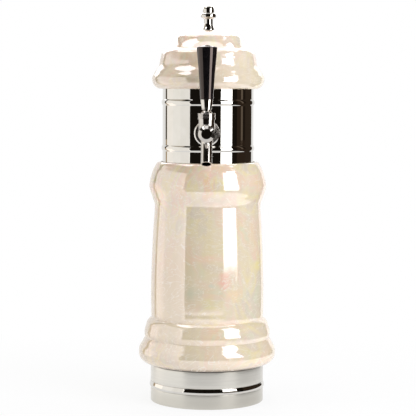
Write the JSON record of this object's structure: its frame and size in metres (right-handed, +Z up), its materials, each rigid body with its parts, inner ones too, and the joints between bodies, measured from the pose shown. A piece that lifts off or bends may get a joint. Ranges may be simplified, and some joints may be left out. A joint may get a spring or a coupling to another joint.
{
  "type": "beer dispenser",
  "caption": "Draft beer tower: glazed ceramic body and lid on a chromed column, steel base ring, and a tap whose black handle tips forward to pour.",
  "frame": {"origin": "on the column's axis at the counter, at the centre of the counter bolt circle", "axes": "+Z up along the column, -Y towards the tap, +X to the right seen from the front"},
  "size_m": [0.1816, 0.2038, 0.5227],
  "materials": {
    "pearl_ceramic": "pearl luster glaze over cream",
    "polished_chrome": "mirror polished",
    "brushed_steel": "turned, fine grain round the ring",
    "black_plastic": "gloss black",
    "rubber": "moulded, matt",
    "brass": "machined",
    "foam": "rigid foam",
    "vinyl": "clear braided line, milky",
    "steel": "plain zinc and stainless fasteners"
  },
  "bodies": {
    "tower": {"ceramic_body": "pearl_ceramic", "base_trim_ring": "polished_chrome", "column_tube": "polished_chrome", "shank_flange": "polished_chrome", "coupling_nut": "polished_chrome", "faucet_body": "polished_chrome", "bonnet": "polished_chrome", "base_pan": "brushed_steel", "base_upper_collar": "brushed_steel", "base_gasket": "rubber", "body_seat_gasket": "rubber", "body_top_seal": "rubber", "lid_gasket": "rubber", "coupling_washer": "rubber", "ball_washer": "rubber", "tail_washer": "rubber", "shank": "brass", "tailpiece": "brass", "inlet_barb": "brass", "insulation_core": "foam", "beer_hose": "vinyl", "column_foot_ring": "steel", "foot_screws": "steel", "bridge_bar": "steel", "lid_stud": "steel", "stud_nuts": "steel", "shank_wall_washer": "steel", "shank_locknut": "steel", "tail_nut": "steel", "hose_clamps": "steel"},
    "lid": {"ceramic_lid": "pearl_ceramic", "finial_washer": "rubber"},
    "finial": {"finial": "polished_chrome"},
    "handle": {"lever": "polished_chrome", "lever_collar": "polished_chrome", "handle_ferrule": "polished_chrome", "handle_insert": "brass", "tap_handle": "black_plastic"},
    "shaft": {"faucet_shaft": "steel", "seat_washer": "rubber", "shaft_nut": "steel"}
  },
  "joints": [
    {"name": "handle_tilt", "type": "hinge", "parent": "tower", "child": "handle", "pos_m": [0, -0.098, 0.3794], "axis": [1, 0, 0], "range_deg": [0, 28]},
    {"name": "shaft_slide", "type": "slide", "parent": "tower", "child": "shaft", "axis": [0, 1, 0], "range_m": [0, 0.0093]},
    {"name": "lid_lift", "type": "slide", "parent": "tower", "child": "lid", "axis": [0, 0, 1], "range_m": [0, 0.09]},
    {"name": "finial_turn", "type": "hinge", "parent": "lid", "child": "finial", "pos_m": [0, 0, 0.5028], "axis": [0, 0, 1], "continuous": true}
  ],
  "couplings": [
    {"joint": "shaft_slide", "follows": "handle_tilt", "m_per_rad": 0.01892}
  ]
}
